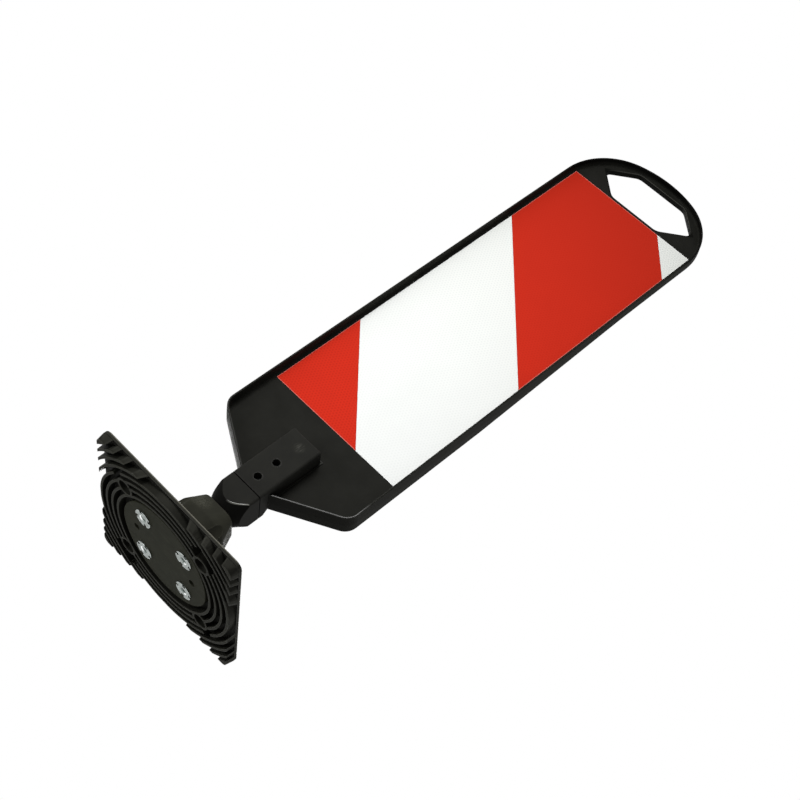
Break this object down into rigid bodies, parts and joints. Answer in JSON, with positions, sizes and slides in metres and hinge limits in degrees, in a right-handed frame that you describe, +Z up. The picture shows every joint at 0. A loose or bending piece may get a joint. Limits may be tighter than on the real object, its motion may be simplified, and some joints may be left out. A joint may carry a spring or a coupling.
{
  "type": "traffic delineation panel",
  "caption": "Tall striped reflective traffic panel with a hand hole, clamped to an arm on a sprung rocking neck, over a square ribbed foot that bolts to the road.",
  "frame": {"origin": "middle of the foot's underside, on the road surface", "axes": "+Z up along the panel, +X to the right seen from the striped face, the striped face looks along -Y"},
  "size_m": [0.218, 0.218, 0.8625],
  "materials": {
    "foot_plastic": "moulded dark grey, matt with fine grain",
    "arm_plastic": "moulded near-black, matt with fine grain",
    "board_plastic": "moulded near-black, matt with fine grain",
    "bearing_plastic": "smooth black bearing plastic",
    "red_sheeting": "red prismatic reflective sheeting",
    "white_sheeting": "white prismatic reflective sheeting",
    "zinc": "zinc plated steel",
    "cable_steel": "galvanised wire rope",
    "spring_steel": "oiled spring steel",
    "ferrule_metal": "crimped aluminium",
    "black_steel": "blackened steel"
  },
  "bodies": {
    "base": {"base_plate": "foot_plastic", "bottom_disc": "foot_plastic", "tee_nuts": "zinc", "neck_collar": "foot_plastic", "collar_bolts": "zinc", "collar_washers": "zinc", "spring_washer": "zinc", "lower_ferrule": "ferrule_metal", "compression_spring": "spring_steel", "tension_cable": "cable_steel"},
    "sleeve": {"seat_sleeve": "bearing_plastic"},
    "panel": {"knuckle": "arm_plastic", "upper_washer": "zinc", "upper_ferrule": "ferrule_metal", "clamp_arm": "arm_plastic", "retaining_pin": "zinc", "clamp_bolts": "zinc", "clamp_washers": "zinc", "clamp_barrels": "black_steel", "panel_board": "board_plastic", "film_red_lower": "red_sheeting", "film_white_middle": "white_sheeting", "film_red_upper": "red_sheeting", "film_white_corner": "white_sheeting"}
  },
  "joints": [
    {"name": "lean_forward", "type": "hinge", "parent": "base", "child": "sleeve", "pos_m": [0, -0.02012, 0.078], "axis": [1, 0, 0], "range_deg": [0, 50], "stiffness_Nm_per_rad": 12, "springref_deg": -14.32, "deforming": ["compression_spring", "tension_cable"]},
    {"name": "lean_back", "type": "hinge", "parent": "sleeve", "child": "panel", "pos_m": [0, 0.01768, 0.0784], "axis": [1, 0, 0], "range_deg": [-50, 0], "stiffness_Nm_per_rad": 12, "springref_deg": 14.32, "deforming": ["compression_spring", "tension_cable"]}
  ]
}
